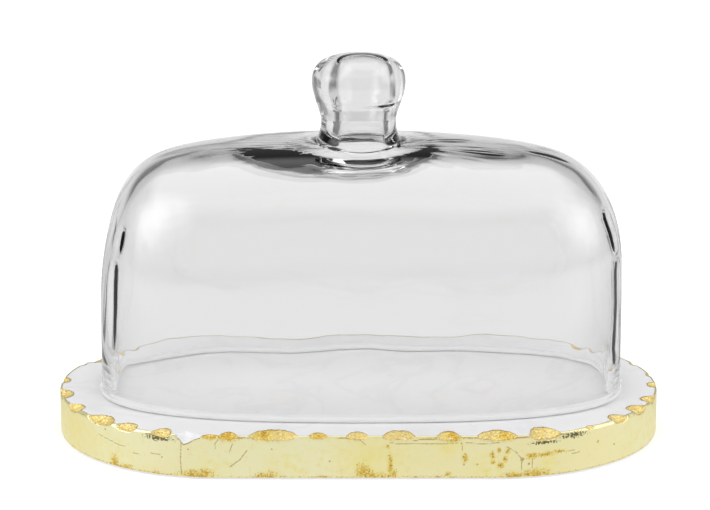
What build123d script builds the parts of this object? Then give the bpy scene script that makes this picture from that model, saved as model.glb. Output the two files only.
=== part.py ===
"""Butter dish: a stone serving base with a gold-leafed edge, and a clear glass cover with a knob.

Frame: millimetres, +Z up, +X along the length, +Y towards the back. The origin is on the table,
midway between the feet. The cover stands loose on the base and lifts straight off. The knob is a
separate gather of glass, blown hollow and fused to the crown of the cover while both are hot.
"""

from build123d import *
import math
import os

# Base: size over the gold leaf. The ends are full half circles.
BASE_LENGTH = 216.0
BASE_WIDTH = 120.0
SLAB_THICKNESS = 15.0
SLAB_EDGE_ROUND = 1.0
LEAF_THICKNESS = 0.25  # leaf, size and sealing lacquer together

# Feet: four thin soft pads under the slab.
FOOT_RADIUS = 6.0
FOOT_HEIGHT = 0.8
FOOT_RIM_ROUND = 0.3
FOOT_SPACING_X = 132.0
FOOT_SPACING_Y = 76.0

# Cover: outside sizes of the glass, with heights above the top of the slab.
COVER_LENGTH = 186.0
COVER_WIDTH = 90.5
COVER_HEIGHT = 91.0
COVER_WALL = 4.6
COVER_CROWN_WALL = 5.4
RIM_FLARE = 1.0  # how far the rim spreads beyond the wall
RIM_FLARE_HEIGHT = 5.0
RIM_ROUND = 1.6
STRAIGHT_WALL_HEIGHT = 20.0  # the wall leans in above this height
END_ARC_SHARE = 0.88  # radius of the plan's end arcs, as a share of the half width

# Above the straight wall, both upright profiles of the cover are superellipses.
LENGTHWISE_EXPONENT = 4.1
CROSSWISE_EXPONENT = 3.6
CROWN_FLAT_SHARE = 0.9925  # the crown is cut flat here, so that the knob has a level seat
LOFT_SECTIONS = 10

# Knob: the side of its outline, as radius and height above the crown, and the height of its tip.
KNOB_SIDE = [
    (15.0, 0.0),
    (13.2, 7.0),
    (14.3, 12.0),
    (16.5, 21.2),
    (15.8, 25.0),
    (12.9, 28.2),
]
KNOB_HEIGHT = 30.7

# The hollow of the knob, which opens into the cover, in the same terms.
HOLLOW_SIDE = [
    (8.9, 0.0),
    (8.45, 6.5),
    (9.2, 14.0),
    (10.5, 21.0),
]
HOLLOW_HEIGHT = 28.8

slab_bottom = FOOT_HEIGHT
slab_top = slab_bottom + SLAB_THICKNESS
crown_top = slab_top + COVER_HEIGHT


def oval(half_length, half_width):
    """Edges of a level oval: two end arcs and two bowed side arcs, tangent where they meet."""
    end_radius = END_ARC_SHARE * half_width
    end_centre = half_length - end_radius
    side_radius = end_centre**2 + half_width**2 - end_radius**2
    side_radius /= 2 * (half_width - end_radius)
    side_centre = half_width - side_radius
    reach = side_radius / (side_radius - end_radius)
    meet_x = end_centre * reach
    meet_y = side_centre - side_centre * reach
    with BuildLine() as outline:
        ThreePointArc((meet_x, -meet_y), (half_length, 0), (meet_x, meet_y))
        ThreePointArc((meet_x, meet_y), (0, half_width), (-meet_x, meet_y))
        ThreePointArc((-meet_x, meet_y), (-half_length, 0), (-meet_x, -meet_y))
        ThreePointArc((-meet_x, -meet_y), (0, -half_width), (meet_x, -meet_y))
    return outline.edges()


def cover_form(half_length, half_width, height, flare):
    """Solid form of one surface of the cover, from the rim up to the flat of the crown."""
    with BuildPart() as form:
        with BuildSketch(Plane.XY.offset(slab_top)):
            make_face(oval(half_length, half_width))
        extrude(amount=STRAIGHT_WALL_HEIGHT)
        for section in range(LOFT_SECTIONS):
            turn = math.pi / 2 * section / (LOFT_SECTIONS - 1)
            share = CROWN_FLAT_SHARE * math.sin(turn)
            level = STRAIGHT_WALL_HEIGHT + math.sin(turn) * (height - STRAIGHT_WALL_HEIGHT)
            lengthwise = (1 - share**LENGTHWISE_EXPONENT) ** (1 / LENGTHWISE_EXPONENT)
            crosswise = (1 - share**CROSSWISE_EXPONENT) ** (1 / CROSSWISE_EXPONENT)
            with BuildSketch(Plane.XY.offset(slab_top + level)):
                make_face(oval(half_length * lengthwise, half_width * crosswise))
        loft()
        with BuildSketch(Plane.XY.offset(slab_top)):
            make_face(oval(half_length + flare, half_width + flare))
        with BuildSketch(Plane.XY.offset(slab_top + RIM_FLARE_HEIGHT)):
            make_face(oval(half_length, half_width))
        loft()
    return form.part


# Stone slab, inside the leaf, with its edges eased.
with BuildPart() as base_slab:
    with BuildSketch(Plane.XY.offset(slab_bottom)):
        SlotOverall(BASE_LENGTH - 2 * LEAF_THICKNESS, BASE_WIDTH - 2 * LEAF_THICKNESS)
    extrude(amount=SLAB_THICKNESS)
    fillet(base_slab.edges().group_by(Axis.Z)[0], SLAB_EDGE_ROUND)
    fillet(base_slab.edges().group_by(Axis.Z)[-1], SLAB_EDGE_ROUND)
base_slab.part.label = "base_slab"

# Gold leaf, a thin skin round the side of the slab between the eased edges.
with BuildPart() as gold_leaf_band:
    with BuildSketch(Plane.XY.offset(slab_bottom + SLAB_EDGE_ROUND)):
        SlotOverall(BASE_LENGTH, BASE_WIDTH)
        SlotOverall(
            BASE_LENGTH - 2 * LEAF_THICKNESS,
            BASE_WIDTH - 2 * LEAF_THICKNESS,
            mode=Mode.SUBTRACT,
        )
    extrude(amount=SLAB_THICKNESS - 2 * SLAB_EDGE_ROUND)
gold_leaf_band.part.label = "gold_leaf_band"

# Glass cover, its outer form less its inner one, with a fire-polished rim.
outer_form = cover_form(COVER_LENGTH / 2, COVER_WIDTH / 2, COVER_HEIGHT, RIM_FLARE)
inner_form = cover_form(
    COVER_LENGTH / 2 - COVER_WALL,
    COVER_WIDTH / 2 - COVER_WALL,
    COVER_HEIGHT - COVER_CROWN_WALL,
    0,
)
hollow_mouth_radius = HOLLOW_SIDE[0][0]
with BuildPart() as glass_cover:
    add(outer_form)
    add(inner_form, mode=Mode.SUBTRACT)
    fillet(glass_cover.edges().group_by(Axis.Z)[0], RIM_ROUND)
    with BuildSketch(Plane.XY.offset(crown_top)):
        Circle(hollow_mouth_radius)
    extrude(amount=-2 * COVER_CROWN_WALL, mode=Mode.SUBTRACT)
glass_cover.part.label = "glass_cover"

# Knob, turned about the vertical axis: an outer form less its hollow, each with a shallow arc
# across its tip.
with BuildPart() as glass_knob:
    for side_points, tip_height, mode in (
        (KNOB_SIDE, KNOB_HEIGHT, Mode.ADD),
        (HOLLOW_SIDE, HOLLOW_HEIGHT, Mode.SUBTRACT),
    ):
        side_line = [(radius, crown_top + height) for radius, height in side_points]
        tip = (0, crown_top + tip_height)
        with BuildSketch(Plane.XZ):
            with BuildLine():
                cap = TangentArc(tip, side_line[-1], tangent=(1, 0))
                side = Spline(*side_line, tangents=[(-1, 2), (cap % 1) * -1])
                Polyline(tip, (0, crown_top), side @ 0)
            make_face()
        revolve(axis=Axis.Z, mode=mode)
glass_knob.part.label = "glass_knob"

os.makedirs("parts", exist_ok=True)
export_step(base_slab.part, "parts/base_slab.step")
export_step(gold_leaf_band.part, "parts/gold_leaf_band.step")
export_step(glass_cover.part, "parts/glass_cover.step")
export_step(glass_knob.part, "parts/glass_knob.step")

# Feet, one pad near each corner of the slab.
for end_name, end_sign in (("left", -1), ("right", 1)):
    for side_name, side_sign in (("front", -1), ("back", 1)):
        with BuildPart() as foot:
            with Locations((end_sign * FOOT_SPACING_X / 2, side_sign * FOOT_SPACING_Y / 2)):
                Cylinder(
                    FOOT_RADIUS,
                    FOOT_HEIGHT,
                    align=(Align.CENTER, Align.CENTER, Align.MIN),
                )
            fillet(foot.edges().group_by(Axis.Z)[0], FOOT_RIM_ROUND)
        foot.part.label = f"foot_{side_name}_{end_name}"
        export_step(foot.part, f"parts/{foot.part.label}.step")
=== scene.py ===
"""Butter dish: a marble base with a gold-leafed, chipped edge under a blown glass cover.

The dish is put together from the table up: the room it is shown in, the slab, the leaf on its edge,
the pads under it, and the glass that stands on it. Everything is in metres, in the frame of the part.
"""

import math
import random

import bpy
import numpy as np
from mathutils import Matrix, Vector, noise


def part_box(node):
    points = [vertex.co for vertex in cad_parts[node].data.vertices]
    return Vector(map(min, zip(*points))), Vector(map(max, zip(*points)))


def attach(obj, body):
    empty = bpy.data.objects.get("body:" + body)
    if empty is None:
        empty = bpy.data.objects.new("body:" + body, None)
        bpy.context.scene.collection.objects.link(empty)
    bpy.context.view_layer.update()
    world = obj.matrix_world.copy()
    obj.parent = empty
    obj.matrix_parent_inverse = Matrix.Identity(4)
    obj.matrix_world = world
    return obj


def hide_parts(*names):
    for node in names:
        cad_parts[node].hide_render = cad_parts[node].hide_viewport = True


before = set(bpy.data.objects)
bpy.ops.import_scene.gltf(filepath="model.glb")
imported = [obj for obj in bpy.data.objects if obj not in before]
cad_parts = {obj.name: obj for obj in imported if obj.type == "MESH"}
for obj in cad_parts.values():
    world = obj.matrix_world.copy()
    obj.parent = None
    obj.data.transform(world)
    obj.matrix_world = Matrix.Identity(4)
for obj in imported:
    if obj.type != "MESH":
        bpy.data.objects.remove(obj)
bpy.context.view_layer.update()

# Camera. A long lens a good metre away, a little above the dish and square to its long side, as a
# catalogue picture of tableware is taken.
CAMERA_DISTANCE = 1.182
CAMERA_ELEVATION = math.radians(15.25)
CAMERA_AIM = Vector((-0.00125, 0, 0.0644))
LENS = 167.2  # both in millimetres
SENSOR = 36

camera_data = bpy.data.cameras.new("camera")
camera_data.lens = LENS
camera_data.sensor_width = SENSOR
camera = bpy.data.objects.new("camera", camera_data)
camera.location = CAMERA_AIM + CAMERA_DISTANCE * Vector(
    (0, -math.cos(CAMERA_ELEVATION), math.sin(CAMERA_ELEVATION))
)
camera.rotation_euler = (math.pi / 2 - CAMERA_ELEVATION, 0, 0)
bpy.context.scene.collection.objects.link(camera)
bpy.context.scene.camera = camera
bpy.context.scene.view_settings.view_transform = "Standard"


# Room. A white sweep of paper under soft light, with grey walls beyond it. Clear glass is drawn by
# what it bends and mirrors, so it sees a lamp on each side, a dim room and a paper that ends.
class Shade:
    """A shader socket that takes part in Python arithmetic, and can add other nodes beside itself."""

    def __init__(self, tree, socket=None):
        self.tree = tree
        self.socket = socket

    def node(self, kind, settings=None, inputs=None, output=0):
        """Adds a node: its settings first, then the values or links of its sockets."""
        made = self.tree.nodes.new(kind)
        for name, value in (settings or {}).items():
            setattr(made, name, value)
        for name, value in (inputs or {}).items():
            if isinstance(value, Shade):
                self.tree.links.new(value.socket, made.inputs[name])
            else:
                made.inputs[name].default_value = value
        return Shade(self.tree, made.outputs[output] if made.outputs else None)

    def maths(self, operation, *values):
        """A Math node on sockets or plain numbers."""
        return self.node("ShaderNodeMath", {"operation": operation}, dict(enumerate(values)))

    def __add__(self, other):
        return self.maths("ADD", self, other)

    def __sub__(self, other):
        return self.maths("SUBTRACT", self, other)

    def __rsub__(self, other):
        return self.maths("SUBTRACT", other, self)

    def __mul__(self, other):
        return self.maths("MULTIPLY", self, other)

    __radd__ = __add__
    __rmul__ = __mul__

    def ramp(self, low, high):
        """0 below low, 1 above high, and smooth between; the other way round if low is above high."""
        ends = {"From Min": min(low, high), "From Max": max(low, high)}
        if low > high:
            ends.update({"To Min": 1.0, "To Max": 0.0})
        return self.node(
            "ShaderNodeMapRange", {"interpolation_type": "SMOOTHSTEP"}, {"Value": self, **ends}
        )


def bare_nodes(owner):
    """Clears the nodes of a material or a world, and gives a Shade to add new ones with."""
    owner.use_nodes = True
    owner.node_tree.nodes.clear()
    return Shade(owner.node_tree)


def texture(place, scale, detail, **more):
    """Noise of a scale and a depth of detail, over the places on an object."""
    inputs = {"Vector": place, "Scale": scale, "Detail": detail, **more}
    return place.node("ShaderNodeTexNoise", {}, inputs)


def room_sheet(name, half_wide, half_high):
    """A flat rectangle that belongs to the room and not to the dish."""
    signs = ((-1, -1), (1, -1), (1, 1), (-1, 1))
    mesh = bpy.data.meshes.new(name)
    mesh.from_pydata([(x * half_wide, y * half_high, 0) for x, y in signs], [], [(0, 1, 2, 3)])
    sheet = bpy.data.objects.new(name, mesh)
    bpy.context.scene.collection.objects.link(sheet)
    return sheet


# Brightness of the paper and of the floor beyond it, then the ranges over which each part of the
# floor comes in, from none to full, in metres from the middle of the dish.
FLOOR_HALF = 9
PAPER_GLOW = 0.84
PAPER_LIFT = 0.12
BEYOND_PAPER = 0.20
PAPER_FADE = (0.85, 0.50)
STRIP_SPREAD = 0.6
STRIP_START = (0.0, 0.25)
STRIP_SIDE = (0.28, 0.16)
SIDE_SHADE = 0.34
SHADE_SPREAD = 0.75
SHADE_SIDE = (-0.03, 0.07)
SHADE_START = (0.0, 0.06)
SHADE_INNER = (0.06, 0.13)
DARK_STRIPE_SLOPE = 0.74
DARK_STRIPE_SHIFT = 0.006
DARK_STRIPE_WIDTH = (0.020, 0.012)
DARK_STRIPE_NEAR = (0.150, 0.160)
DARK_STRIPE_FAR = (0.31, 0.26)

floor = room_sheet("paper_floor", FLOOR_HALF, FLOOR_HALF)
paper = bpy.data.materials.new("white_paper")
floor.data.materials.append(paper)
shade = bare_nodes(paper)
position = shade.node("ShaderNodeNewGeometry", output="Position")
distance = shade.node("ShaderNodeVectorMath", {"operation": "LENGTH"}, {0: position}, "Value")
across = shade.node("ShaderNodeSeparateXYZ", {}, {0: position}, "X")
across = shade.maths("ABSOLUTE", across)
behind = shade.node("ShaderNodeSeparateXYZ", {}, {0: position}, "Y")

# A strip of paper runs back behind the dish, and the floor darkens on each side of it.
strip = behind.ramp(*STRIP_START) * (across - STRIP_SPREAD * behind).ramp(*STRIP_SIDE)
lit = shade.maths("MAXIMUM", distance.ramp(*PAPER_FADE), strip)
beside = (across - SHADE_SPREAD * behind).ramp(*SHADE_SIDE)
beside = beside * behind.ramp(*SHADE_START) * across.ramp(*SHADE_INNER)

# A thin stripe of painted shade darkens the glow on each side, for dark accents in the glass walls.
off_dark_stripe = shade.maths("ABSOLUTE", behind - DARK_STRIPE_SLOPE * across + DARK_STRIPE_SHIFT)
painted_dark_stripe = off_dark_stripe.ramp(*DARK_STRIPE_WIDTH) * across.ramp(*DARK_STRIPE_NEAR) * across.ramp(*DARK_STRIPE_FAR)
brightness = BEYOND_PAPER + (PAPER_GLOW - BEYOND_PAPER) * lit * (1.0 - SIDE_SHADE * beside)
glow = shade.node("ShaderNodeEmission", {}, {"Strength": brightness * (1.0 - painted_dark_stripe)})

# The camera itself sees plain matt paper, lit a little from within so that it stays white.
matt = shade.node("ShaderNodeBsdfDiffuse", {}, {"Color": (1, 1, 1, 1)})
lift = shade.node("ShaderNodeEmission", {}, {"Strength": PAPER_LIFT})
lifted = shade.node("ShaderNodeAddShader", {}, {0: matt, 1: lift})
seen = shade.node("ShaderNodeLightPath", output="Is Camera Ray")
surface = shade.node("ShaderNodeMixShader", {}, {0: seen, 1: glow, 2: lifted})
shade.node("ShaderNodeOutputMaterial", {}, {"Surface": surface})

# Light of the dim room, the lit ceiling, the paper sweep behind and the wall in front, and the
# directions in which each comes in.
ROOM_LIGHT = 0.20
OVERHEAD_LIGHT = 1.45
OVERHEAD_UP = (0.55, 0.75)
SWEEP_LIGHT = 0.68
SWEEP_BACK = (0.45, 0.80)
SWEEP_UP = (0.30, 0.12)
FRONT_LIGHT = 0.36
FRONT_BACK = (-0.1, -0.6)
FRONT_UP = (0.60, 0.40)

world = bpy.data.worlds.new("studio")
bpy.context.scene.world = world
shade = bare_nodes(world)
direction = shade.node("ShaderNodeTexCoord", output="Generated")
across, along, up = (
    shade.node("ShaderNodeSeparateXYZ", {}, {0: direction}, axis) for axis in ("X", "Y", "Z")
)
overhead = up.ramp(*OVERHEAD_UP)
sweep = along.ramp(*SWEEP_BACK) * up.ramp(*SWEEP_UP)
front = along.ramp(*FRONT_BACK) * up.ramp(*FRONT_UP)
room_light = ROOM_LIGHT + OVERHEAD_LIGHT * overhead + SWEEP_LIGHT * sweep + FRONT_LIGHT * front
seen = shade.node("ShaderNodeLightPath", output="Is Camera Ray")
level = room_light + seen * (1.0 - room_light)
background = shade.node("ShaderNodeBackground", {}, {"Strength": level})
shade.node("ShaderNodeOutputWorld", {}, {"Surface": background})

# The lamps light the dish, and glass mirrors their faces, which fade towards their edges.
LAMP_SIZE = (0.7, 0.9)
LAMP_POWER = 5.5
LAMP_AIM = Vector((0, 0, 0.05))
FACE_HALF = (0.80, 0.85)
FACE_FADE = (0.75, 0.05)
FACE_UNEVEN = 0.5
SOFTBOXES = {
    "left": {"lamp": (-1.0, -0.55, 0.75), "face": (-1.12, -0.35, 0.64), "shine": 3.25},
    "right": {"lamp": (1.0, -0.55, 0.75), "face": (1.28, -0.15, 0.55), "shine": 2.55},
}
for side, softbox in SOFTBOXES.items():
    lamp = bpy.data.lights.new(f"softbox_{side}", "AREA")
    lamp.shape = "RECTANGLE"
    lamp.size, lamp.size_y = LAMP_SIZE
    lamp.energy = LAMP_POWER
    box = bpy.data.objects.new(lamp.name, lamp)
    box.location = softbox["lamp"]
    box.rotation_euler = (LAMP_AIM - box.location).to_track_quat("-Z", "Y").to_euler()
    box.visible_glossy = False
    box.visible_transmission = False
    bpy.context.scene.collection.objects.link(box)

    face = room_sheet(f"softbox_{side}_face", *FACE_HALF)
    face.location = softbox["face"]
    face.rotation_euler = (-face.location).to_track_quat("-Z", "Y").to_euler()
    face.visible_camera = False
    face.visible_diffuse = False
    face.visible_shadow = False
    cloth = bpy.data.materials.new(face.name)
    face.data.materials.append(cloth)
    shade = bare_nodes(cloth)
    place_on = shade.node("ShaderNodeTexCoord", output="Object")
    from_middle = shade.node("ShaderNodeVectorMath", {"operation": "LENGTH"}, {0: place_on}, "Value")
    fading = (from_middle + FACE_UNEVEN * (texture(place_on, 4.0, 3) - 0.5)).ramp(*FACE_FADE)
    shine = shade.node("ShaderNodeEmission", {}, {"Strength": softbox["shine"] * fading})
    clear = shade.node("ShaderNodeBsdfTransparent", {}, {"Color": (1, 1, 1, 1)})
    surface = shade.node("ShaderNodeAddShader", {}, {0: shine, 1: clear})
    shade.node("ShaderNodeOutputMaterial", {}, {"Surface": surface})


# Marble slab. One sawn and honed piece of white stone with half-round ends. Its top edge is chipped
# by hand with a chisel, so that the leaf has broken facets to lie in.
MM = 0.001
slab_low, slab_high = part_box("base_slab")
SLAB_HALF_WIDTH = slab_high.y
SLAB_STRAIGHT = slab_high.x - slab_high.y
SLAB_TOP = slab_high.z
SLAB_DEPTH = slab_high.z - slab_low.z
END_TURN = math.pi * SLAB_HALF_WIDTH
GIRTH = 4 * SLAB_STRAIGHT + 2 * END_TURN

# Chips round the front half of the edge, in millimetres: place along the edge from the middle of the
# front, where right is positive, then length, width on the top and depth down the side.
GILT_CHIPS = [
    (-168, 5, 1.6, 0.7),
    (-147, 7, 3.0, 1.0),
    (-130.5, 11, 4.4, 1.3),
    (-113.5, 9, 4.4, 1.4),
    (-96, 13, 5.6, 1.8),
    (-83.5, 9, 5.0, 1.5),
    (-69, 7.6, 5.4, 1.8),
    (-51, 6.5, 1.8, 0.7),
    (-45, 6.6, 4.6, 1.3),
    (-29.5, 17.5, 7.2, 1.7),
    (-14, 6.4, 4.0, 1.0),
    (-0.5, 7.6, 5.2, 1.3),
    (14, 11.4, 6.4, 1.5),
    (31, 7.8, 5.6, 1.7),
    (48, 14.2, 6.8, 1.7),
    (65, 11.5, 8.0, 2.5),
    (83, 4, 2.0, 0.7),
    (98, 8, 5.4, 1.4),
    (111.5, 9.5, 5.6, 1.6),
    (124, 8, 4.6, 1.3),
    (141.5, 7, 3.4, 1.0),
    (153.5, 4, 1.6, 0.7),
    (168, 5, 2.0, 0.8),
]
NOTCH = (-63.6, -60.6, -54.0)  # a knock that left bare stone: left end, deepest place, right end
NOTCH_WIDTH = 4.2
NOTCH_DEPTH = 3.0

# The rest of the edge gets chips picked at random, up to where the listed ones start again.
BACK_START = 178.0
BACK_END = GIRTH / MM - 176
STRAIGHT_BACK = (196.0, GIRTH / MM - 196)
chooser = random.Random(7)
middle = BACK_START
while middle < BACK_END:
    length = chooser.uniform(5, 14)
    if STRAIGHT_BACK[0] < middle < STRAIGHT_BACK[1]:
        # Along the back the chisel was held flatter, so the chips run down the side rather than in.
        width = chooser.uniform(0.8, 1.3)
        depth = length * chooser.uniform(0.18, 0.3)
    else:
        width = length * chooser.uniform(0.35, 0.6)
        depth = 0.4 + width * chooser.uniform(0.12, 0.25)
    GILT_CHIPS.append((middle + length / 2, length, width, depth))
    middle += length + chooser.uniform(2, 9)


def edge_place(along, inset):
    """Plan place of a point, from its distance along the edge and in from it."""
    run = (along + SLAB_STRAIGHT) % GIRTH - SLAB_STRAIGHT
    turn = np.clip((run - SLAB_STRAIGHT) / SLAB_HALF_WIDTH, 0, math.pi)
    turn = turn + np.clip((run - 3 * SLAB_STRAIGHT - END_TURN) / SLAB_HALF_WIDTH, 0, math.pi)
    centre = np.clip(run, -SLAB_STRAIGHT, SLAB_STRAIGHT)
    centre = centre - np.clip(run - SLAB_STRAIGHT - END_TURN, 0, 2 * SLAB_STRAIGHT)
    radius = SLAB_HALF_WIDTH - inset
    return centre + radius * np.sin(turn), -radius * np.cos(turn)


def wander(size, seed, row=0.0):
    """Smooth random values between about -1 and 1 along the edge, for features of a given size."""
    reach = GIRTH / (2 * math.pi) / size
    turns = 2 * math.pi * along / GIRTH
    return np.array(
        [noise.noise((reach * math.cos(t), reach * math.sin(t) + row, seed)) for t in turns]
    )


def offset_from(place):
    """Distance along the edge from a place on it, the short way round."""
    return (along - place * MM + GIRTH / 2) % GIRTH - GIRTH / 2


def chip_reach(chips):
    """How far the chips reach in from the edge and down its side, at each place along it."""
    reach_in = np.full(along.shape, NO_CHIP)
    reach_down = np.full(along.shape, NO_CHIP)
    for middle, length, width, depth in chips:
        share = 1 - np.abs(2 * offset_from(middle) / (length * MM)) ** CHIP_BLUNTNESS
        share = np.clip(share + CHIP_RAGGED * flaked, 0, None) * (share > 0)
        ragged = 1 + CHIP_RAGGED * crumbled
        reach_in = np.maximum(reach_in, width * MM * share**CHIP_CURVE * ragged)
        reach_down = np.maximum(reach_down, depth * MM * share**CHIP_CURVE * ragged)
    return reach_in, reach_down


COLUMNS = 1680
NO_CHIP = 0.01 * MM
CHIP_BLUNTNESS = 2.4
CHIP_CURVE = 0.75
CHIP_RAGGED = 0.10
FLAKE_SIZE = 2.2 * MM
CRUMB_SIZE = 0.8 * MM
NOTCH_CURVE = 0.6
along = np.arange(COLUMNS) / COLUMNS * GIRTH
flaked = wander(FLAKE_SIZE, 3.1)
crumbled = wander(CRUMB_SIZE, 8.3)
sway = 0.15 * MM * wander(16 * MM, 5.7) + 0.07 * MM * wander(4 * MM, 6.2)
gilt_in, gilt_down = chip_reach(GILT_CHIPS)
start, end = offset_from(NOTCH[0]) / MM, offset_from(NOTCH[2]) / MM
notch = np.minimum(start / (NOTCH[1] - NOTCH[0]), -end / (NOTCH[2] - NOTCH[1]))
notch = np.clip(notch + 0.08 * crumbled, 0.003, 1)
bare_in, bare_down = NOTCH_WIDTH * MM * notch**NOTCH_CURVE, NOTCH_DEPTH * MM * notch
reach_in = np.maximum(gilt_in, bare_in)
reach_down = np.maximum(gilt_down, bare_down)

EASED_EDGE = 0.35 * MM
EXTRA_WEAR = 0.75 * MM
WORN_PLACES = [(-95, 22), (97, 20)]  # middle and reach, in millimetres along the edge
worn_edge = sum(np.exp(-((offset_from(place) / MM / reach) ** 4)) for place, reach in WORN_PLACES)
eased_edge = EASED_EDGE + EXTRA_WEAR * worn_edge * (1 + 0.5 * flaked)
CUT_CENTRE = 12.0 * MM  # chips are cut towards a line this far inside the edge
HOLLOW = 0.05
FACET_GRAIN = 0.012
SWAY_REACH = 9 * MM


def edge_surface(section, lift):
    """Points of a surface that follows the chipped edge, row by row from the bottom up."""
    rows = []
    for number, (inset, depth) in enumerate(section):
        # Inside the chip, which is a slanted cut, points are pulled in to the cut.
        from_corner = inset / reach_in + depth / reach_down
        from_centre = CUT_CENTRE / reach_in + CUT_CENTRE / reach_down
        cut = np.clip(1 - from_corner, 0, 1)
        share = np.where(cut > 0, (from_centre - 1) / (from_centre - from_corner), 1)
        grain = FACET_GRAIN * wander(1.0 * MM, 4.4, number * 0.4)
        share = share - cut * (HOLLOW * (1 + 0.5 * flaked) + grain)
        in_from, down_from = inset - CUT_CENTRE, depth - CUT_CENTRE
        away = np.hypot(in_from, down_from)
        share = share + lift / away
        x, y = edge_place(along, CUT_CENTRE + in_from * share + sway * (inset < SWAY_REACH))
        rows.append(np.stack([x, y, SLAB_TOP - CUT_CENTRE - down_from * share], -1))
    return np.array(rows)


def grid_faces(rows, columns):
    """Quads of a grid whose rows close on themselves, outward side out."""
    row, column = np.meshgrid(np.arange(rows - 1), np.arange(columns), indexing="ij")
    low = row * columns + column
    beside = row * columns + (column + 1) % columns
    return np.stack([low, beside, beside + columns, low + columns], -1).reshape(-1, 4).tolist()


def make_piece(name, points, faces, **values):
    """A smooth mesh object from its points and faces, with values on the points for its material."""
    mesh = bpy.data.meshes.new(name)
    mesh.from_pydata([tuple(map(float, point)) for point in points], [], faces)
    mesh.polygons.foreach_set("use_smooth", [True] * len(mesh.polygons))
    for value_name, value in values.items():
        layer = mesh.attributes.new(value_name, "FLOAT", "POINT")
        layer.data.foreach_set("value", np.asarray(value, dtype=np.float32).ravel())
    piece = bpy.data.objects.new(name, mesh)
    bpy.context.scene.collection.objects.link(piece)
    return piece


# The section of the edge, from the underside up the side and in over the top. Its rows lie close
# together as far down and in as the chips reach.
UNDERSIDE = (9 * MM, 3 * MM)
PLAIN_SIDE = 3.8 * MM
CHIPPED_SIDE = 3.5 * MM
CHIPPED_TOP = 9.5 * MM
PLAIN_TOP = (14 * MM, 26 * MM, 44 * MM)
quarter = np.linspace(0, 1, 5)
turned_in = 1 - np.cos(quarter * math.pi / 2)
turned_down = 1 - np.sin(quarter * math.pi / 2)
section = [(inset, SLAB_DEPTH) for inset in UNDERSIDE]
section += [(EASED_EDGE * a, SLAB_DEPTH - EASED_EDGE * b) for a, b in zip(turned_down, turned_in)]
section += [(0, depth) for depth in np.linspace(SLAB_DEPTH - 2 * EASED_EDGE, PLAIN_SIDE, 5)]
down_to_edge = eased_edge - CHIPPED_SIDE
section += [(0, CHIPPED_SIDE + down_to_edge * step) for step in np.linspace(0, 1, 9)[:-1]]
section += [(eased_edge * a, eased_edge * b) for a, b in zip(turned_in, turned_down)]
across_chips = CHIPPED_TOP - eased_edge
section += [(eased_edge + across_chips * step, 0) for step in np.linspace(0, 1, 26)[1:]]
section += [(inset, 0) for inset in PLAIN_TOP]
slab_rows = edge_surface(section, 0)
faces = grid_faces(len(section), COLUMNS)
faces.append(list(range(COLUMNS))[::-1])
faces.append([(len(section) - 1) * COLUMNS + column for column in range(COLUMNS)])
slab = make_piece("marble_slab", slab_rows.reshape(-1, 3), faces)
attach(slab, "base")
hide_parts("base_slab")


def new_material(name):
    """An empty material, its Principled shader and a Shade to start its nodes from."""
    material = bpy.data.materials.new(name)
    material.use_nodes = True
    shader = material.node_tree.nodes["Principled BSDF"]
    return material, shader, Shade(material.node_tree)


def feed(shader, **sockets):
    """Links or sets sockets of a shader, with underscores for the spaces in their names."""
    for name, value in sockets.items():
        socket = shader.inputs[name.replace("_", " ")]
        if isinstance(value, Shade):
            value.tree.links.new(value.socket, socket)
        else:
            socket.default_value = value


def colours(factor, first, second):
    """Mixes two colours, either of which may be a plain one."""
    first, second = (c if isinstance(c, Shade) else (*c, 1) for c in (first, second))
    return factor.node(
        "ShaderNodeMix", {"data_type": "RGBA"}, {"Factor": factor, "A": first, "B": second}, 2
    )


WHITE_STONE = (0.80, 0.80, 0.808)
GREY_VEIN = (0.66, 0.665, 0.68)
DARK_PIT = (0.5, 0.5, 0.5)

marble, shader, shade = new_material("white_marble")
place_on = shade.node("ShaderNodeTexCoord", output="Object")
cloud = texture(place_on, 16, 8, Distortion=1.4)
vein = shade.maths("ABSOLUTE", cloud - 0.5).ramp(0.035, 0.0)
grain = texture(place_on, 1100, 3)
pit = shade.node("ShaderNodeTexVoronoi", {}, {"Vector": place_on, "Scale": 160}).ramp(0.10, 0.03)
stone = colours(vein * cloud * 0.5, WHITE_STONE, GREY_VEIN)
stone = colours(pit * 0.25, stone, DARK_PIT)
relief = grain - pit * 0.5
bump = shade.node("ShaderNodeBump", {}, {"Strength": 0.3, "Distance": 0.0001, "Height": relief})
feed(shader, Base_Color=stone, Roughness=0.34 + 0.14 * grain, Normal=bump)
slab.data.materials.append(marble)

# Gold leaf. Imitation leaf laid over red-brown clay on the side of the slab and in the chips, burnished,
# rubbed through along the bottom and at the folds, tarnished in a few places and lacquered.
LEAF_LIFT = 0.12 * MM
LEAF_BOTTOM = SLAB_DEPTH - EASED_EDGE
LEAF_OVERLAP = 0.35 * MM  # how far the leaf runs on to the top between the chips
SIDE_ROWS = 38
TOP_ROWS = 17
ragged = 1 + 0.6 * wander(1.8 * MM, 1.9) + 0.6 * wander(0.7 * MM, 2.9)
top_limit = np.maximum(gilt_in * 1.02, eased_edge + LEAF_OVERLAP * np.clip(ragged, 0.1, None))
bare = np.clip((bare_down - 0.15 * MM) / (0.25 * MM), 0, 1) * (gilt_down < 0.3 * MM)
side_limit = eased_edge * (1 - bare) + (bare_down * 1.05 + 0.1 * MM) * bare

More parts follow.
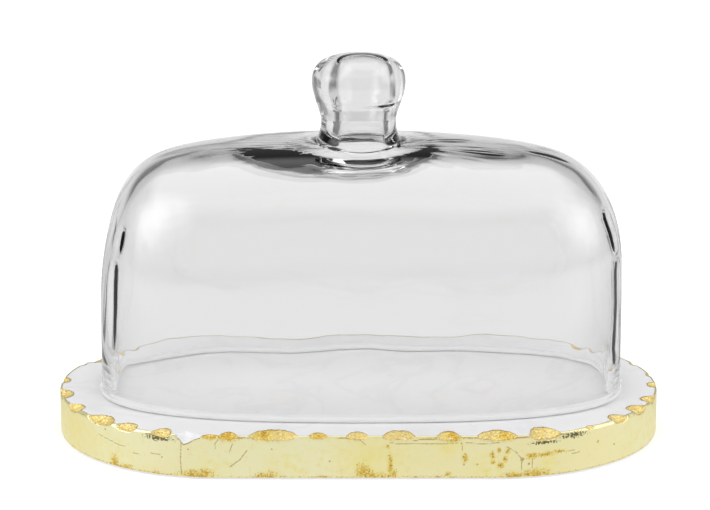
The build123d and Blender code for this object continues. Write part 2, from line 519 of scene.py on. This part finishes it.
leaf_section = [(EASED_EDGE + 0 * along, SLAB_DEPTH + 0 * along)]
leaf_section.append((0.3 * EASED_EDGE + 0 * along, SLAB_DEPTH - 0.3 * EASED_EDGE + 0 * along))
for step in np.linspace(0, 1, SIDE_ROWS):
    leaf_section.append((0 * along, LEAF_BOTTOM + (side_limit - LEAF_BOTTOM) * step))
for turned, dropped in zip(turned_in[1:], turned_down[1:]):
    inset = eased_edge * turned * (1 - bare)
    leaf_section.append((inset, side_limit * bare + eased_edge * dropped * (1 - bare)))
for step in np.linspace(0, 1, TOP_ROWS)[1:]:
    inset = eased_edge + (top_limit - eased_edge) * step
    leaf_section.append((inset * (1 - bare), side_limit * bare))
leaf_rows = edge_surface(leaf_section, LEAF_LIFT)
inset = np.array([row[0] for row in leaf_section]) / MM
depth = np.array([row[1] for row in leaf_section]) / MM

# How far each point lies in a chip, and how near it is to the end of the leaf, from 0 to 1.
in_chip = np.clip(2.5 * (1 - inset / (gilt_in / MM) - depth / (gilt_down / MM)), 0, 1)
in_chip = np.maximum(in_chip, (inset > eased_edge / MM) * (gilt_in > 1.2 * MM) * 1.0)
to_top_end = top_limit / MM - inset + 9 * (inset <= 0)
to_end = np.where(bare > 0.5, (depth - side_limit / MM) * 0.5, to_top_end)
leaf_end = np.clip(1 - to_end / (0.3 + 0.12 * gilt_in / MM), 0, 1)
leaf_end = leaf_end * (np.abs(offset_from(0)) < STRAIGHT_BACK[0] * MM - 1 * MM)

# Marks in the leaf, as places along the edge and depths down the side in millimetres.
HAIRLINES = [
    [(-96, 5.2), (-91, 6.0), (-87, 6.7), (-83, 7.1)],
    [(-80, 8.6), (-77, 8.9)],
    [(-73, 7.6), (-69, 7.9)],
    [(-61.5, 3.0), (-61.7, 9.0), (-61.5, 14.2)],
    [(-48.5, 1.2), (-49.6, 2.6), (-49.4, 4.4)],
    [(-43.6, 2.8), (-44.6, 5.6)],
    [(-38.5, 5.0), (-41.0, 8.4), (-44.5, 11.0)],
    [(0.4, 1.2), (2.6, 3.2)],
    [(10.5, 2.1), (13.0, 2.7), (19.0, 2.5), (27.0, 2.7), (34.0, 2.4)],
    [(18.5, 1.7), (22.0, 1.1), (28.0, 1.3)],
    [(35.5, 2.2), (35.9, 5.2)],
    [(37.0, 2.2), (42.0, 2.7), (48.5, 2.3)],
    [(51.0, 3.8), (54.0, 5.4), (56.5, 8.2)],
    [(56.3, 8.4), (56.5, 12.4)],
    [(60.3, 8.4), (60.1, 11.8)],
    [(72.5, 7.2), (76.0, 6.9)],
    [(75.0, 8.2), (78.0, 8.0)],
]
# Specks: place, depth and size.
SPECKS = [
    (-92.5, 2.6, 0.5), (-68.5, 8.6, 0.4), (-59.0, 5.0, 0.4), (-30.0, 4.6, 0.4), (36.4, 10.2, 0.4),
    (41.0, 10.1, 0.4), (56.6, 8.5, 0.8), (59.0, 10.2, 0.5), (-10.0, 9.0, 0.4), (94.0, 8.4, 0.5),
]
# Rubbed-through patches: place, depth of the middle, length, height.
RUBBED = [
    (-88, 14.0, 3.5, 5.0), (-84, 14.6, 9.0, 2.4), (-71, 14.8, 4.0, 1.4), (-56, 14.4, 12.0, 3.4),
    (-53, 13.2, 4.5, 2.4), (-32, 14.4, 7.0, 2.8), (-12, 14.8, 6.0, 1.2), (1.5, 13.2, 5.0, 6.0),
    (4.0, 14.4, 10.0, 3.0), (11.0, 10.5, 1.6, 8.0), (12.3, 13.4, 2.0, 3.0), (10.0, 3.6, 1.4, 1.8),
    (36.8, 7.6, 2.0, 3.2), (46.3, 6.6, 1.6, 2.6), (46.6, 9.4, 1.8, 1.6), (49.0, 10.3, 2.6, 2.2),
    (50.6, 8.2, 1.6, 2.4), (51.5, 5.6, 1.8, 1.8), (48.5, 5.0, 1.2, 1.8), (60.0, 7.6, 4.0, 2.2),
    (65.0, 7.3, 7.0, 1.4), (70.0, 6.7, 5.0, 1.0), (54.0, 14.4, 8.0, 2.8), (61.5, 14.2, 9.0, 3.4),
    (31.0, 13.6, 2.0, 1.4), (86.0, 5.8, 1.0, 1.0), (-45.0, 0.3, 6.8, 2.8), (-51.0, 0.3, 6.0, 1.6),
    (-14.0, 0.2, 6.0, 1.2), (33.0, 0.3, 5.0, 3.2), (-33.0, 0.4, 5.0, 2.0), (51.0, 0.4, 5.0, 2.0),
]
# Warmer gold, and black tarnish, in the same way.
WARM = [
    (2, 9, 26, 14), (11, 10, 5, 14), (31, 4, 7, 5), (45, 12, 9, 9), (-93, 9, 18, 10), (-50, 12, 9, 6),
    (-118, 8, 26, 16), (66, 11, 5, 8), (122, 9, 30, 14), (-22, 10, 12, 8),
]
TARNISH = [(-69.5, 1.9, 9.0, 1.6), (64.5, 2.9, 9.0, 1.2), (75.5, 1.5, 9.0, 1.8)]
# The ends and the back get marks picked at random.
MARKED = (135, GIRTH / MM - 135)
SCRATCHED = (140, GIRTH / MM - 140)
for _ in range(34):
    place = chooser.uniform(*MARKED)
    length = chooser.uniform(2, 11)
    RUBBED.append((place, chooser.uniform(13.0, 14.8), length, length * 0.35))
    WARM.append((chooser.uniform(*MARKED), chooser.uniform(4, 12), length * 2.4, 9))
for _ in range(8):
    place, down = chooser.uniform(*SCRATCHED), chooser.uniform(3, 11)
    HAIRLINES.append([(place, down), (place + chooser.uniform(-8, 8), down + chooser.uniform(-2, 2))])


def patches(marks, edge):
    """How deep each point of the leaf lies in the nearest of the oval patches, from 0 to 1."""
    deepest = 0 * depth
    for place, down, length, height in marks:
        away = np.hypot(offset_from(place) / MM / (length / 2), (depth - down) / (height / 2))
        deepest = np.maximum(deepest, np.clip((1 + edge - away) / (2 * edge), 0, 1))
    return deepest


LINE_WIDTH = 0.30
FOLD_WIDTH = 0.4
PATCH_EDGE = 0.9

hairline = 0 * depth
for line in HAIRLINES:
    for start, end in zip(line, line[1:]):
        run, fall = end[0] - start[0], end[1] - start[1]
        ahead = offset_from(start[0]) / MM
        share = np.clip((ahead * run + (depth - start[1]) * fall) / (run**2 + fall**2), 0, 1)
        away = np.hypot(ahead - share * run, depth - start[1] - share * fall)
        hairline = np.maximum(hairline, np.clip(1.2 - away / LINE_WIDTH, 0, 1))
for place, down, size in SPECKS:
    away = np.hypot(offset_from(place) / MM, depth - down)
    hairline = np.maximum(hairline, np.clip(1.5 - away / size, 0, 1))

# The leaf is folded over the top edge, and has cracked along the fold.
from_front = np.abs(offset_from(0))
fold = np.clip(0.75 + 1.6 * wander(6 * MM, 7.7), 0, 1.2) * np.clip(3 - 3 * worn_edge, 0, 1)
fold = fold * (from_front < 80 * MM) + 0.5 * (from_front > 130 * MM)
under_edge = np.abs(depth - side_limit / MM - 0.2 - 0.15 * wander(3 * MM, 8.8))
crack = fold * np.clip(1.25 - under_edge / FOLD_WIDTH, 0, 1) * (inset <= 0)
hairline = np.maximum(hairline, crack)
worn_bottom = np.clip(1 - (LEAF_BOTTOM / MM - depth) / 0.7, 0, 1) * 0.6

leaf = make_piece(
    "gold_leaf",
    leaf_rows.reshape(-1, 3),
    grid_faces(len(leaf_section), COLUMNS),
    in_chip=in_chip,
    leaf_end=leaf_end,
    hairline=hairline,
    rubbed=np.maximum(patches(RUBBED, PATCH_EDGE), worn_bottom),
    warm=patches(WARM, PATCH_EDGE),
    tarnish=patches(TARNISH, PATCH_EDGE),
)
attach(leaf, "base")
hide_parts("gold_leaf_band")

PALE_GOLD = (0.985, 0.945, 0.585)
DEEP_GOLD = (0.99, 0.91, 0.50)
WARM_GOLD = (0.985, 0.88, 0.36)
MOTTLED_GOLD = (0.92, 0.78, 0.38)
BRIGHT_CRUMB = (0.995, 0.945, 0.57)
DULL_CRUMB = (0.90, 0.72, 0.28)
DARK_CRUMB = (0.45, 0.30, 0.08)
RUBBED_GOLD = (0.97, 0.83, 0.26)
WORN_GOLD = (0.90, 0.62, 0.10)
WORN_CLAY = (0.55, 0.33, 0.05)
BROWN_CLAY = (0.44, 0.29, 0.08)
BLACK_TARNISH = (0.09, 0.085, 0.04)

gold, shader, shade = new_material("gold_leaf")


def painted(name):
    """A value that was put on the points of the leaf."""
    return shade.node("ShaderNodeAttribute", {"attribute_name": name}, {}, "Fac")


place_on = shade.node("ShaderNodeTexCoord", output="Object")
broad = texture(place_on, 38, 4)
mottle = texture(place_on, 420, 5)
fine = texture(place_on, 1400, 3)
speckle = texture(place_on, 1500, 5, Roughness=0.7)
grit = shade.node("ShaderNodeTexVoronoi", {}, {"Vector": place_on, "Scale": 1300})

leaf_colour = colours(broad.ramp(0.36, 0.64), PALE_GOLD, DEEP_GOLD)
warmth = painted("warm") * (mottle * 0.6 + broad * 0.4).ramp(0.36, 0.60)
leaf_colour = colours(warmth, leaf_colour, WARM_GOLD)
leaf_colour = colours((mottle * 0.5 + fine * 0.5).ramp(0.54, 0.66) * 0.45, leaf_colour, MOTTLED_GOLD)

# In the chips the leaf is crumpled over broken stone, with clay in the gaps.
chip_colour = colours(grit.ramp(0.15, 0.50), BRIGHT_CRUMB, DULL_CRUMB)
chip_colour = colours(speckle.ramp(0.55, 0.62) * 0.7, chip_colour, DARK_CRUMB)
leaf_colour = colours(painted("in_chip").ramp(0.2, 0.7), leaf_colour, chip_colour)

# Rubbed places are thin and orange, and worn through in specks.
rubbed = painted("rubbed")
wear = (rubbed * 0.30 + speckle + 0.25 * (mottle - 0.5)).ramp(0.66, 0.74) * rubbed.ramp(0.0, 0.12)
leaf_colour = colours(rubbed.ramp(0.05, 0.8) * 0.7, leaf_colour, RUBBED_GOLD)
leaf_colour = colours(wear * 0.85, leaf_colour, colours(fine.ramp(0.42, 0.60), WORN_GOLD, WORN_CLAY))

# Bare clay shows in the cracks, at the ends of the leaf and round the chips.
clay = (painted("hairline") + 0.9 * (fine - 0.5)).ramp(0.42, 0.80) * 0.65
at_end = (painted("leaf_end") * 0.6 + speckle * 0.9).ramp(0.66, 0.86) * painted("leaf_end").ramp(0.0, 0.2)
clay = shade.maths("MAXIMUM", clay, at_end * 0.9)
chip_rim = painted("in_chip").ramp(0.02, 0.2) * painted("in_chip").ramp(0.7, 0.35)
clay = shade.maths("MAXIMUM", clay, chip_rim * speckle.ramp(0.40, 0.54) * 0.8)
leaf_colour = colours(clay, leaf_colour, BROWN_CLAY)
black = (painted("tarnish") * 0.30 + speckle).ramp(0.62, 0.72) * painted("tarnish").ramp(0.0, 0.2)
leaf_colour = colours(black * 0.92, leaf_colour, BLACK_TARNISH)

rough = 0.34 + 0.12 * mottle + 0.16 * wear + 0.14 * painted("in_chip") + 0.2 * clay
relief = mottle * 0.4 + fine * 0.25 - clay * 0.5 - wear * 0.5 + painted("in_chip") * (1.0 - grit) * 3.0
bump = shade.node("ShaderNodeBump", {}, {"Strength": 0.55, "Distance": 0.0002, "Height": relief})
feed(shader, Base_Color=leaf_colour, Metallic=1.0, Roughness=rough, Normal=bump)
leaf.data.materials.append(gold)

# Pads. Four thin discs of clear soft plastic under the slab, stuck on.
PAD_GREY = (0.62, 0.62, 0.60)
PAD_DUST = (0.74, 0.74, 0.72)

pad, shader, shade = new_material("clear_pad")
dust = texture(shade.node("ShaderNodeTexCoord", output="Object"), 700, 3)
feed(shader, Base_Color=colours(dust, PAD_GREY, PAD_DUST), Roughness=0.35 + 0.2 * dust)
for side in ("front_left", "front_right", "back_left", "back_right"):
    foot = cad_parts[f"foot_{side}"]
    foot.data.materials.clear()
    foot.data.materials.append(pad)

# Glass. The cover is blown into a mould and cracked off, and the foot of its rim is ground. The knob is
# a second gather, blown hollow and fused on while both are hot, so cover and knob are one clear body.
HALF_LENGTH = 93.0 * MM
HALF_WIDTH = 45.3 * MM
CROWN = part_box("glass_knob")[0].z
STRAIGHT_WALL = SLAB_TOP + 20 * MM
RIM_WALL = 4.6 * MM
WALL = 3.2 * MM
CROWN_WALL = 4.0 * MM
PLAN_EXPONENT = 2.73
PROFILE_EXPONENT = 3.6
SHOULDER_LENGTH = 43.3 * MM
CROWN_FALL = 7.3 * MM
RIM_LIFT = 0.05 * MM
RIM_ROUND = 2.3 * MM
RIM_FULLNESS = 0.8
RIM_STEPS = 12
AROUND = 420
WALL_RINGS = 12
CROWN_RINGS = 44


def plan_outline(half_length, half_width, count):
    """Evenly spaced points of the superelliptic plan of the cover, from the right end round."""
    turn = np.linspace(0, 2 * math.pi, 4001)
    power = 2 / PLAN_EXPONENT
    x = half_length * np.sign(np.cos(turn)) * np.abs(np.cos(turn)) ** power
    y = half_width * np.sign(np.sin(turn)) * np.abs(np.sin(turn)) ** power
    run = np.concatenate([[0], np.cumsum(np.hypot(np.diff(x), np.diff(y)))])
    even = np.arange(count) / count * run[-1]
    return np.interp(even, run, x), np.interp(even, run, y)


def cover_height(x, y, half_length, half_width, crown):
    """Height of a cover surface over a place in plan, found by halving steps of its level outline."""
    low = np.zeros(x.shape)
    high = np.ones(x.shape)
    shoulder = SHOULDER_LENGTH - (HALF_LENGTH - half_length)
    for _ in range(40):
        level = (low + high) / 2
        across = half_width * level + 1e-9
        length = half_length - (1 - level) * shoulder
        outside = np.abs(x / length) ** PLAN_EXPONENT + np.abs(y / across) ** PLAN_EXPONENT > 1
        low = np.where(outside, level, low)
        high = np.where(outside, high, level)
    rise = (1 - np.clip(high, 0, 1) ** PROFILE_EXPONENT) ** (1 / PROFILE_EXPONENT)
    height = STRAIGHT_WALL + (crown - STRAIGHT_WALL) * rise
    share = (height - SLAB_TOP) / (crown - SLAB_TOP)
    return height - CROWN_FALL * (x / HALF_LENGTH) ** 2 * share


def cover_rings(half_length, half_width, crown, foot, insets):
    """Rings of a cover surface from the rim to the crown, where they close in on a circle."""
    rings = []
    for height, inset in zip(wall_heights, insets):
        x, y = plan_outline(half_length - inset, half_width - inset, AROUND)
        rings.append(np.stack([x, y, np.full(AROUND, height)], -1))
    for step in range(1, CROWN_RINGS + 1):
        share = math.cos(math.pi / 2 * step / CROWN_RINGS) ** (2 / PROFILE_EXPONENT)
        share = min(share, 1 - 1e-6) if step < CROWN_RINGS else 0.0
        px = foot * np.cos(turn) + (x - foot * np.cos(turn)) * share
        py = foot * np.sin(turn) + (y - foot * np.sin(turn)) * share
        height = cover_height(px, py, half_length, half_width, crown)
        rings.append(np.stack([px, py, height], -1))
    return rings


# Side lines of the knob and of the hollow in it: radii and heights above the crown, in millimetres.
KNOB_SIDE = [
    (16.6, 0.0), (15.2, 0.4), (14.3, 1.4), (13.8, 2.9), (13.4, 4.8), (13.2, 7.0), (13.5, 9.3),
    (14.3, 12.0), (15.3, 15.0), (16.2, 18.0), (16.5, 21.0), (16.3, 23.6), (15.7, 25.4), (14.7, 27.0),
    (13.2, 28.3), (11.3, 29.3), (8.6, 30.1), (5.0, 30.6), (1.5, 30.75),
]
KNOB_TOP = 30.8 * MM
KNOB_CAVITY = [
    (13.4, -4.6), (11.6, -4.5), (10.2, -4.1), (9.3, -3.0), (8.8, -1.0), (8.5, 2.5), (8.0, 6.0),
    (7.9, 9.0), (7.9, 12.0), (8.2, 14.0), (9.2, 16.0), (9.75, 18.8), (9.8, 21.8), (9.4, 24.2),
    (8.2, 26.0), (6.2, 27.3), (3.6, 28.0), (1.3, 28.3),
]
CAVITY_TOP = 28.35 * MM
CAVITY_OFFSET = 1.1 * MM  # the hollow was blown a little to one side, less so in the neck
NECK_OFFSET = 0.65
NECK_HEIGHT = 15
FUNNEL_TAPER = 4


def smooth_line(points, steps):
    """A Catmull-Rom line through the points, with a number of steps between each two."""
    points = [np.array(point) for point in points]
    ends = [2 * points[0] - points[1], *points, 2 * points[-1] - points[-2]]
    line = []
    for before, start, end, after in zip(ends, ends[1:], ends[2:], ends[3:]):
        for step in range(steps):
            t = step / steps
            line.append(
                0.5
                * (
                    2 * start
                    + (end - before) * t
                    + (2 * before - 5 * start + 4 * end - after) * t**2
                    + (3 * start - before - 3 * end + after) * t**3
                )
            )
    line.append(points[-1])
    return line


def knob_rings(side_line, offset):
    """Level rings round a side line of the knob, moved aside by an offset from its foot up."""
    rings = []
    for radius, height in smooth_line(side_line, 3)[1:]:
        aside = offset * min(1, (side_line[0][0] - radius) / FUNNEL_TAPER)
        aside *= 1 if height > NECK_HEIGHT else NECK_OFFSET
        x = aside + radius * MM * np.cos(turn)
        y = radius * MM * np.sin(turn)
        rings.append(np.stack([x, y, np.full(AROUND, CROWN + height * MM)], -1))
    return rings


turn = 2 * math.pi * np.arange(AROUND) / AROUND
wall_heights = np.linspace(SLAB_TOP + RIM_ROUND, STRAIGHT_WALL, WALL_RINGS)
outer = cover_rings(HALF_LENGTH, HALF_WIDTH, CROWN, KNOB_SIDE[0][0] * MM, [0] * WALL_RINGS)
thick_foot = [(RIM_WALL - WALL) * (1 - i / (WALL_RINGS - 1)) ** 2 for i in range(WALL_RINGS)]
inner = cover_rings(
    HALF_LENGTH - WALL, HALF_WIDTH - WALL, CROWN - CROWN_WALL, KNOB_CAVITY[0][0] * MM, thick_foot
)
outer_knob = knob_rings(KNOB_SIDE, 0)
cavity = knob_rings(KNOB_CAVITY, CAVITY_OFFSET)

# The crown is thicker round the knob, where the gathers met, and further out on the left.
POOL_DEPTH = 1.8 * MM
POOL_LEFT = 50 * MM
POOL_RIGHT = 30 * MM
POOL_HALF_WIDTH = 35 * MM
POOL_SLOPE = 0.55
POOL_HEIGHT = 40 * MM
for ring in inner:
    pool_length = np.where(ring[:, 0] < 0, POOL_LEFT, POOL_RIGHT)
    reach = np.hypot(ring[:, 0] / pool_length, ring[:, 1] / POOL_HALF_WIDTH)
    share = np.clip((1 - reach) / POOL_SLOPE, 0, 1)
    on_crown = np.clip((ring[:, 2] - STRAIGHT_WALL) / POOL_HEIGHT, 0, 1)
    ring[:, 2] -= POOL_DEPTH * share**2 * (3 - 2 * share) * on_crown

# The rim is a round bead that joins the two walls under their lowest rings.
rim = []
ox, oy = outer[0][:, 0], outer[0][:, 1]
ix, iy = inner[0][:, 0], inner[0][:, 1]
for step in range(1, RIM_STEPS):
    angle = math.pi * step / RIM_STEPS
    share = (1 - math.cos(angle)) / 2
    drop = (RIM_ROUND - RIM_LIFT) * math.sin(angle) ** RIM_FULLNESS
    height = np.full(AROUND, SLAB_TOP + RIM_ROUND - drop)
    rim.append(np.stack([ix + (ox - ix) * share, iy + (oy - iy) * share, height], -1))

rings = np.array((inner + cavity)[::-1] + rim + outer + outer_knob)
across = np.roll(rings, -1, 1) - np.roll(rings, 1, 1)
upward = np.gradient(rings, axis=0)
outward = np.cross(across, upward)
outward /= np.linalg.norm(outward, axis=-1, keepdims=True) + 1e-12
is_outer = np.arange(len(rings)) >= len(inner) + len(cavity) + len(rim)

# Blown glass is uneven, and more so inside, where it touched no mould. Under the crown it is wrinkled
# lengthways round the knob.
OUTER_WAVES = (0.12, 0.03, 2.0)  # depths of the waves and the ripples in millimetres, and a seed
INNER_WAVES = (0.30, 0.07, 9.0)
WAVE_SIZE = 22 * MM
RIPPLE_SIZE = 8 * MM
WAVES_FADE = (1 * MM, 14 * MM)  # from the slab up, none and then over how far they come in
WRINKLE_DEPTH = 1.3
WRINKLE_SIZE = (7, 1.6, 1.6)
WRINKLE_REACH = (54, 36)
WRINKLE_SLOPE = 1.6
WRINKLED_CROWN = 18 * MM
for ring, (place_row, outward_row) in enumerate(zip(rings, outward)):
    swell, ripple, seed = OUTER_WAVES if is_outer[ring] else INNER_WAVES
    for column, (place, normal) in enumerate(zip(place_row, outward_row)):
        broad = noise.noise(Vector(place) / WAVE_SIZE + Vector((seed, 0, 0)))
        small = noise.noise(Vector(place) / RIPPLE_SIZE + Vector((0, seed, 0)))
        fade = min(1, max(0, (place[2] - SLAB_TOP - WAVES_FADE[0]) / WAVES_FADE[1]))
        on_crown = place[2] > CROWN - WRINKLED_CROWN
        if not is_outer[ring] and ring > len(cavity) and on_crown:
            stretched = Vector([length / size for length, size in zip(place, WRINKLE_SIZE)]) / MM
            reach = math.hypot(place[0] / WRINKLE_REACH[0], place[1] / WRINKLE_REACH[1]) / MM
            share = min(1, max(0, WRINKLE_SLOPE * (1 - reach)))
            small += WRINKLE_DEPTH * share * noise.noise(stretched)
        place_row[column] = place + normal * (swell * broad + ripple * small) * MM * fade

# A fold in the hot wall near each end, on the inside, shows as a broken dark stroke. Each has its place
# as a share of the way round from the right end, its bottom and top in millimetres, and a seed.
FOLDS = [(0.5420, 34, 80, 4.0), (0.9695, 28, 88, 6.0)]
FOLD_DEPTH = 0.9 * MM
FOLD_HALF_WIDTH = 1.7  # in columns
FOLD_SWAY = 0.0030
columns = np.arange(AROUND)
for middle, bottom, top, seed in FOLDS:
    for row in np.flatnonzero(~is_outer):
        height = rings[row, int(middle * AROUND), 2] / MM
        if bottom < height < top:
            broken = min(1, max(0, 0.75 + 3.0 * noise.noise((seed, 0, height / 9))))
            ends = min(1, (height - bottom) / 6, (top - height) / 6)
            centre = (middle + FOLD_SWAY * noise.noise((0, seed, height / 8))) * AROUND
            ridge = np.exp(-(((columns - centre) / FOLD_HALF_WIDTH) ** 2))
            rings[row] += outward[row] * (FOLD_DEPTH * broken * ends * ridge)[:, None]

# The cover also leans and bulges a little to the right, and its rim spreads where it was cracked off.
LEAN = 0.9
BULGE = 0.85
BULGE_RISE = 0.68
BULGE_REACH = 0.2
STRETCH = 1.0045
SPREAD = 1.2 * MM
SPREAD_HEIGHT = 12 * MM
rise = np.clip((rings[..., 2] - SLAB_TOP) / (CROWN - SLAB_TOP), 0, 1)
bulge = BULGE * np.exp(-(((rise - BULGE_RISE) / BULGE_REACH) ** 2))
lean = (LEAN + bulge) * (1 - rise**10) * MM
low = np.clip(1 - (rings[..., 2] - SLAB_TOP) / SPREAD_HEIGHT, 0, 1) ** 2
spread = SPREAD * low / np.hypot(rings[..., 0], rings[..., 1])
rings[..., 0] = rings[..., 0] * (STRETCH + spread) + lean
rings[..., 1] *= 1 + spread

cavity_top = np.array([[CAVITY_OFFSET, 0, CROWN + CAVITY_TOP]])
knob_top = np.array([[0, 0, CROWN + KNOB_TOP]])
points = np.concatenate([cavity_top, *rings, knob_top])
faces = [[point + 1 for point in face] for face in grid_faces(len(rings), AROUND)]
last = 1 + (len(rings) - 1) * AROUND
for column in range(AROUND):
    beside = (column + 1) % AROUND
    faces.append([0, 1 + beside, 1 + column])
    faces.append([last + column, last + beside, len(points) - 1])
cover = make_piece("blown_glass_cover", points, faces)
first_rim_face = (len(inner) + len(cavity) - 1) * AROUND
rim_faces = (len(rim) + 1) * AROUND
for face in cover.data.polygons[first_rim_face : first_rim_face + rim_faces]:
    face.material_index = 1
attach(cover, "cover")
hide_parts("glass_cover", "glass_knob")

CLEAR = (0.965, 0.965, 0.965, 1)
SHADOW = (0.98, 0.98, 0.98, 1)
GROUND = (0.93, 0.93, 0.93, 1)

glass, shader, shade = new_material("clear_glass")
feed(shader, Base_Color=CLEAR, Roughness=0.0, IOR=1.5, Transmission_Weight=1.0)
# Light goes straight through to the slab, which keeps the marble under the cover bright.
through = shade.node("ShaderNodeBsdfTransparent", {}, {"Color": SHADOW})
shadow = shade.node("ShaderNodeLightPath", output="Is Shadow Ray")
clear = Shade(glass.node_tree, shader.outputs[0])
surface = shade.node("ShaderNodeMixShader", {}, {0: shadow, 1: clear, 2: through})
feed(glass.node_tree.nodes["Material Output"], Surface=surface)
cover.data.materials.append(glass)

# The foot of the rim is ground flat and left frosted.
frosted, shader, _ = new_material("ground_glass_rim")
feed(shader, Base_Color=GROUND, Roughness=0.6, IOR=1.5, Transmission_Weight=0.35)
cover.data.materials.append(frosted)
